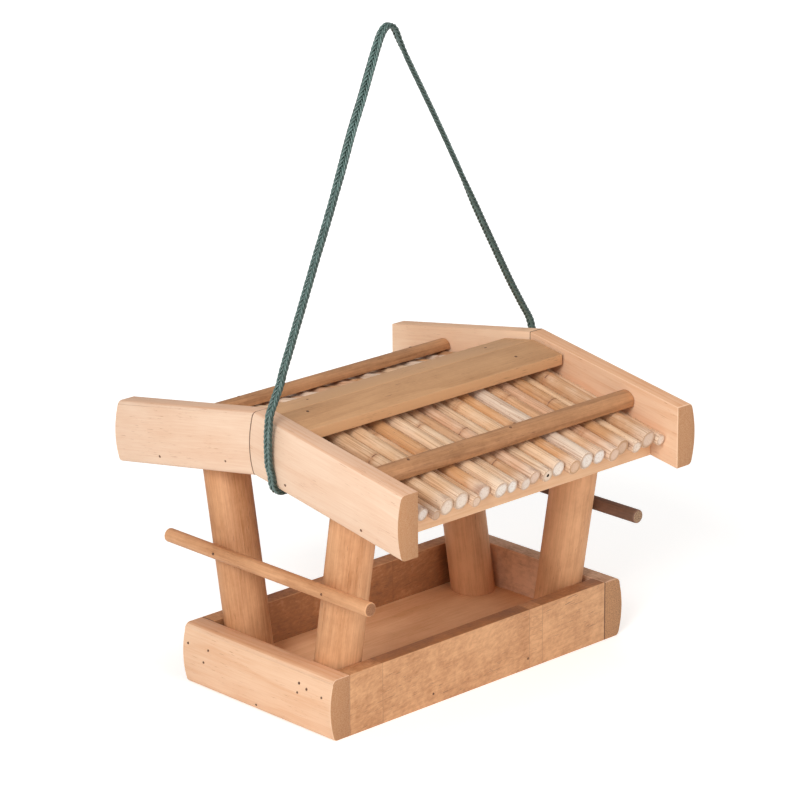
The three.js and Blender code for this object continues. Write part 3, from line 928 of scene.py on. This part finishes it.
def make_reeds(side, row, names, materials):
    """The reeds of one slope. Each name takes as many reeds as its CAD node holds."""
    sign = SIDES[side]
    down = slope_down(sign, DECK_PITCH)
    turn = Z_AXIS.rotation_difference(down).to_matrix().to_4x4()
    draw = random.Random(70 + sign)
    per_name = len(row) // len(names)
    for i, node in enumerate(names):
        whole = bmesh.new()
        skins = []
        for reed in row[i * per_name : (i + 1) * per_name]:
            bm = reed_stalk(reed, reed_length(reed), side == "front" and i == HOLLOW_FRONT_REED, draw)
            start = deck_point(sign, REED_RIDGE_GAP, reed["radius"] + CLEARANCE) + X_AXIS * reed["x"]
            bmesh.ops.transform(bm, matrix=Matrix.Translation(start) @ turn, verts=bm.verts)
            skin = FRONT_REED_SKINS[i] if side == "front" else draw.choice(list(REED_SKINS))
            pith = draw.uniform(0.2, 1)
            skins.append((*add_bmesh(whole, bm), start, linear(REED_SKINS[skin]), pith))
        piece = make_piece(node + "_reed", whole, materials["reed"], replaces=[node])
        lay_reed_grain(piece, skins, down, draw)


def lay_reed_grain(piece, skins, down, draw):
    """Tells every face corner where it lies in its reed, and gives skin and pith their colours."""
    mesh = piece.data
    grain = mesh.attributes.new("grain", "FLOAT_VECTOR", "CORNER")
    colours = mesh.attributes.new("skin", "FLOAT_VECTOR", "CORNER")
    place = mesh.attributes["place"].data
    deep = X_AXIS.cross(down)
    for first, last, start, skin, pith in skins:
        shift = Vector((draw.uniform(0, 900), draw.uniform(0, 900), 0))
        bare = Vector(skin[:3]) * draw.uniform(0.92, 1.06)
        cut = bare.lerp(Vector(linear(BARE_PITH)[:3]), pith)
        for face in mesh.polygons[first:last]:
            for corner in face.loop_indices:
                here = (mesh.vertices[mesh.loops[corner].vertex_index].co - start) / MM
                grain.data[corner].vector = Vector((here.dot(down), here.x, here.dot(deep))) + shift
                colours.data[corner].vector = cut if place[corner].vector.z > ON_CUT_END else bare


def reed_length(reed):
    """How long a reed is, to reach from the ridge to its own place beyond the deck's edge."""
    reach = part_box("roof_deck_back")[1][1] + REED_OVERHANG - REED_RIDGE_GAP
    return reach / math.cos(DECK_PITCH) + reed["end"]


def deck_point(sign, reach, raised):
    """A point over the deck: at a distance from the ridge, then raised square to the slope."""
    low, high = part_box("roof_deck_back")
    peak = high[2] + low[1] * math.tan(DECK_PITCH)
    on_deck = Vector((0, sign * reach, peak - reach * math.tan(DECK_PITCH)))
    return on_deck + slope_up(sign, DECK_PITCH) * raised


def smooth_route(points):
    """A smooth line through a route's points."""
    per_span = 10
    points = [Vector(p) for p in points]
    ways = []
    for i, here in enumerate(points):
        before = points[max(i - 1, 0)]
        after = points[min(i + 1, len(points) - 1)]
        ways.append((after - before).normalized())
    line = []
    for i in range(len(points) - 1):
        reach = (points[i + 1] - points[i]).length / 3
        handles = points[i] + ways[i] * reach, points[i + 1] - ways[i + 1] * reach
        line += interpolate_bezier(points[i], *handles, points[i + 1], per_span + 1)[:-1]
    return line + [points[-1]]


def even_steps(line, step):
    """The same line with points an equal step apart."""
    lengths = [0]
    for a, b in zip(line, line[1:]):
        lengths.append(lengths[-1] + (b - a).length)
    count = round(lengths[-1] / step)
    spaced = []
    span = 0
    for i in range(count + 1):
        goal = min(lengths[-1] * i / count, lengths[-1])
        while span < len(line) - 2 and lengths[span + 1] < goal:
            span += 1
        share = (goal - lengths[span]) / (lengths[span + 1] - lengths[span])
        spaced.append(line[span].lerp(line[span + 1], share))
    return spaced


def flat_side(line, twist):
    """The direction of the cord's wide side at each point: along Y, turned about the cord by twist."""
    sides = []
    for i, here in enumerate(line):
        way = (line[min(i + 1, len(line) - 1)] - line[max(i - 1, 0)]).normalized()
        wide = (Y_AXIS - way * Y_AXIS.dot(way)).normalized()
        wide.rotate(Matrix.Rotation(twist(here), 3, way))
        sides.append((wide, way.cross(wide)))
    return sides


def plait(name, line, width, thickness, twist, material):
    """A flat plait along a line. Each strand runs over to the middle, then dives to the other edge."""
    sides = flat_side(line, twist)
    reach = width / 2 - STRAND_RADIUS
    rise = thickness / 2 - STRAND_RADIUS
    runs = []
    for k in range(STRANDS):
        run = []
        for i, here in enumerate(line):
            angle = 2 * math.pi * (k / STRANDS + i / STEPS_PER_PITCH)
            dive = math.sin(2 * angle)
            lift = math.copysign(abs(dive) ** DIVE_SHARPNESS, dive) * rise
            wide, thin = sides[i]
            run.append(here + wide * reach * math.cos(angle) + thin * lift)
        runs.append((run, STRAND_RADIUS))
    for share in CORE_SHARES:
        runs.append(([here + sides[i][0] * reach * share for i, here in enumerate(line)], CORE_RADIUS))
    mesh = tubes(name, runs)
    mesh.materials.append(material)
    mark_strands(mesh, runs, line, sides, width, thickness)
    mesh.shade_smooth()
    piece = bpy.data.objects.new(name, mesh)
    bpy.context.collection.objects.link(piece)
    return piece


def mark_strands(mesh, runs, line, sides, width, thickness):
    """Tells every point of a plait how far out it lies, how high on its strand, and its strand's shade.

    The mesh holds the caps of its ends first and then, tube by tube, one ring of points for each step.
    """
    attribute = mesh.attributes.new("plait", "FLOAT_VECTOR", "POINT")
    shades = 3
    rings = len(runs) * len(line)
    corners = len(mesh.vertices) // rings
    end_caps = len(mesh.vertices) - rings * corners
    for i, vertex in enumerate(mesh.vertices[end_caps:], end_caps):
        run, step = divmod((i - end_caps) // corners, len(line))
        wide, thin = sides[step]
        aside = vertex.co - line[step]
        relief = math.hypot(aside.dot(wide) / width, aside.dot(thin) / thickness) * 2
        strand_centre, radius = runs[run][0][step], runs[run][1]
        outward = (strand_centre - line[step]).dot(thin)
        crown = (vertex.co - strand_centre).dot(thin) / radius * math.copysign(1, outward)
        attribute.data[i].vector = (relief, crown, run % shades / shades)


def tubes(name, runs):
    """One mesh of round tubes, each along its own run of points."""
    curve = bpy.data.curves.new(name, "CURVE")
    curve.dimensions = "3D"
    curve.bevel_depth = 1
    curve.bevel_resolution = 1
    curve.use_fill_caps = True
    for run, radius in runs:
        strand = curve.splines.new("POLY")
        strand.points.add(len(run) - 1)
        for point, place in zip(strand.points, run):
            point.co = (*place, 1)
            point.radius = radius
    holder = bpy.data.objects.new(name, curve)
    bpy.context.collection.objects.link(holder)
    bpy.context.view_layer.update()
    mesh = bpy.data.meshes.new_from_object(holder.evaluated_get(bpy.context.evaluated_depsgraph_get()))
    bpy.data.objects.remove(holder)
    bpy.data.curves.remove(curve)
    mesh.name = name
    return mesh


def share_between(value, start, end):
    """0 at start, 1 at end, and in proportion between them."""
    return min(max((value - start) / (end - start), 0), 1)


def cord_twist(here):
    """The cord lies flat on the gables. Above, its left run turns to the front, its right one edge on."""
    on_left = here.x < BEND_ACROSS
    turn, start = (LEFT_TWIST, LEFT_TWIST_START) if on_left else (RIGHT_TWIST, RIGHT_TWIST_START)
    rise = share_between(here.z, start, start + TWIST_RISE)
    fall = share_between(here.z, TWIST_END, TWIST_END - TWIST_FALL)
    return turn * min(rise, fall)


def drawn_tight(line):
    """The same line, drawn up close where the cord goes round the lower edge of a gable board."""
    drawn = []
    for here in line:
        outward = math.copysign(1, here.x)
        corner = Vector((outward * GABLE_CORNER.x, here.y, GABLE_CORNER.z))
        near = share_between((corner - here).length, FIRST_DRAWN, FULLY_DRAWN)
        under = share_between(abs(here.x), BESIDE_CORNER, UNDER_CORNER)
        lift = (LIFT_BESIDE + (LIFT_UNDER - LIFT_BESIDE) * under) * near * near * (3 - 2 * near)
        drawn.append(here + Vector((-outward * INWARD_SHARE * (1 - under), 0, 1)) * lift)
    return drawn


def make_cord(materials):
    """One braided cord from knot to knot: under the roof, over both gables and up to its top bend."""
    along_knot = (RIGHT_TURN - LEFT_TURN).normalized() * CORD_INTO_KNOT
    route = [KNOT_PLACE - along_knot, *reversed(LEFT_WRAP_ROUTE), LEFT_TURN, *LOOP_ROUTE]
    route += [RIGHT_TURN, *RIGHT_WRAP_ROUTE, KNOT_PLACE + along_knot]
    line = even_steps(smooth_route(route), PLAIT_PITCH / STEPS_PER_PITCH)
    cord = plait(
        "hanging_cord", drawn_tight(line), CORD_WIDTH, CORD_THICKNESS, cord_twist, materials["cord"],
    )
    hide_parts("cord_loop", "cord_turn_left", "cord_turn_right", "cord_wrap_left", "cord_wrap_right")
    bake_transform(cord)
    knot = make_knot(materials)
    length = sum((b - a).length for a, b in zip(line, line[1:]))


def make_knot(materials):
    """The knot that closes the cord: the same braid, drawn tight in a trefoil."""
    turn = Matrix.Rotation(math.atan2(RIGHT_TURN.y - LEFT_TURN.y, RIGHT_TURN.x - LEFT_TURN.x), 3, "Z")
    points = []
    for i in range(KNOT_POINTS + 1):
        t = 2 * math.pi * i / KNOT_POINTS
        loop = Vector((
            (math.sin(t) + 2 * math.sin(2 * t)) * KNOT_SIZE.x,
            (math.cos(t) - 2 * math.cos(2 * t)) * KNOT_SIZE.y,
            -math.sin(3 * t) * KNOT_SIZE.z,
        ))
        points.append(KNOT_PLACE + turn @ loop)
    line = even_steps(smooth_route(points), PLAIT_PITCH / STEPS_PER_PITCH)
    knot = plait("cord_knot_braid", line, KNOT_WIDTH, KNOT_THICKNESS, lambda here: 0.0, materials["cord"])
    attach(knot, "table")
    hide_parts("cord_knot")
    return knot


def nail_spots():
    """Where each nail head lies, in millimetres, and the way that the wood faces there."""
    spots = []
    side_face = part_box("tray_side_front")[0][1] / MM
    for x, z in TRAY_SIDE_NAILS:
        spots.append((Vector((x, side_face, z)), -Y_AXIS))
        spots.append((Vector((x, -side_face, z)), Y_AXIS))
    tray_middle = middle("tray_end_left").z / MM
    perch_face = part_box("perch_right")[1][0] / MM
    for x_sign in ENDS.values():
        for y, z in TRAY_END_NAILS:
            spots.append(bulge_spot("tray_end_left", x_sign, -x_sign * y, z, z - tray_middle))
        for y, z in GABLE_NAILS:
            gable_middle = GABLE_MIDDLE_AT_RIDGE - abs(y) * math.tan(GABLE_PITCH)
            spots.append(bulge_spot("gable_front_left", x_sign, -x_sign * y, z, z - gable_middle))
        for y, z in PERCH_NAILS:
            spots.append((Vector((x_sign * perch_face, -x_sign * y, z)), X_AXIS * x_sign))
    spots += [cap_spot(x, y) for x, y in CAP_NAILS]
    spots += [batten_spot(side, x) for side, x in BATTEN_NAILS]
    return spots


def make_nails(materials):
    """Small nail heads, set flush into the wood, where the photograph shows them."""
    draw = random.Random(90)
    bm = bmesh.new()
    for place, outward in nail_spots():
        radius = draw.uniform(0.7, 0.95) * MM
        head = bmesh.ops.create_cone(
            bm, cap_ends=True, segments=16, radius1=radius, radius2=radius * 0.8, depth=0.4 * MM,
        )
        turn = Z_AXIS.rotation_difference(outward).to_matrix().to_4x4()
        bmesh.ops.transform(bm, matrix=Matrix.Translation(place * MM) @ turn, verts=head["verts"])
    make_piece("nail_heads", bm, materials["nail"])


def cap_spot(x, y):
    """A place on a ridge cap's upper face."""
    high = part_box("ridge_cap_front")[1]
    seam_y = high[1] / MM
    outward = slope_up(-1 if y < seam_y else 1, GABLE_PITCH)
    return Vector((x, y, high[2] / MM - abs(y - seam_y) * math.tan(GABLE_PITCH))), outward


def batten_spot(side, x):
    """A place on the crown of a batten."""
    outward = slope_up(SIDES[side], DECK_PITCH)
    crown = max(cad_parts[f"batten_{side}"].data.vertices, key=lambda vertex: vertex.co.dot(outward))
    return Vector((x, crown.co.y / MM, crown.co.z / MM)), outward


def bulge_spot(node, x_sign, y, z, off_middle):
    """A place on a half-log board's rounded outer face, and the way that the face looks there."""
    outer = abs(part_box(node)[0][0]) / MM
    depth = math.sqrt(HALF_LOG_RADIUS * HALF_LOG_RADIUS - off_middle * off_middle)
    outward = Vector((x_sign * depth, 0, off_middle)).normalized()
    return Vector((x_sign * (outer - HALF_LOG_RADIUS + depth), y, z)), outward


def make_stage():
    """A plain pale floor, a white surround and soft light, strongest from the left."""
    finish = Finish("pale_floor")
    finish.set(base_color=linear("F7F6F4"), roughness=0.9)
    seen = seen_directly(finish)
    place = finish.node("ShaderNodeTexCoord", {}, {}, "Object")
    away = finish.node("ShaderNodeVectorMath", {"operation": "LENGTH"}, {0: place}, "Value")
    # The floor whitens with its distance, so that its far end can't be told from the surround
    whiteness = finish.ramp(away, 0.15, 1.5) * 0.32 + 0.38
    glow = finish.node("ShaderNodeEmission", {}, {"Color": (1, 1, 1, 1), "Strength": seen * whiteness})
    both = finish.node("ShaderNodeAddShader", {}, {0: Wire(finish.tree, finish.shader.outputs[0]), 1: glow})
    finish.tree.links.new(both.socket, finish.tree.nodes["Material Output"].inputs["Surface"])
    bm = bmesh.new()
    bmesh.ops.create_grid(bm, x_segments=1, y_segments=1, size=12)
    mesh = bpy.data.meshes.new("floor")
    bm.to_mesh(mesh)
    bm.free()
    mesh.materials.append(finish.material)
    floor = bpy.data.objects.new("floor", mesh)
    bpy.context.collection.objects.link(floor)
    make_surround()
    add_lamp("key_light", (-2.4, -1.05, 1.65), size=1.3, watts=53)
    add_lamp("fill_light", (0.2, -2.8, 1.1), size=1.8, watts=24)
    add_lamp("top_light", (0.2, 0.3, 3.1), size=1.6, watts=15)


def seen_directly(finish):
    """1 where the camera sees a surface straight, in a reflection or through glass."""
    kinds = ("Camera", "Glossy", "Transmission")
    rays = [finish.node("ShaderNodeLightPath", {}, {}, f"Is {kind} Ray") for kind in kinds]
    return (rays[0] + rays[1] + rays[2]).clamped()


def make_surround():
    """White all round where it is seen, and a softer light on the object."""
    world = bpy.data.worlds.new("white_surround")
    bpy.context.scene.world = world
    world.use_nodes = True
    seen = add_node(world.node_tree, "ShaderNodeLightPath", {}, {}, "Is Camera Ray")
    background = world.node_tree.nodes["Background"]
    background.inputs["Color"].default_value = (1, 1, 1, 1)
    join(world.node_tree, seen * 0.6 + 0.4, background.inputs["Strength"])


def add_lamp(name, place, size, watts):
    lamp = bpy.data.objects.new(name, bpy.data.lights.new(name, "AREA"))
    lamp.data.shape = "DISK"
    lamp.data.size = size
    lamp.data.energy = watts
    aim = LAMP_AIM - Vector(place)
    lamp.matrix_world = Matrix.Translation(place) @ aim.to_track_quat("-Z", "Y").to_matrix().to_4x4()
    bpy.context.collection.objects.link(lamp)


place_camera()
materials = make_materials()
make_cord(materials)
make_tray(materials)
make_gables(materials)
make_posts(materials)
make_perches(materials)
make_roof_boards(materials)
make_reeds(
    "front", reed_row(FRONT_REED_WIDTH_SHARES, False),
    [f"reed_front_{i + 1:02d}" for i in range(len(FRONT_REED_WIDTH_SHARES))], materials,
)
make_reeds(
    "back", reed_row(BACK_REED_WIDTH_SHARES, True),
    [f"reed_pair_back_{i + 1:02d}" for i in range(len(BACK_REED_WIDTH_SHARES) // 2)], materials,
)
make_nails(materials)
make_stage()
bpy.context.scene.view_settings.view_transform = "Standard"
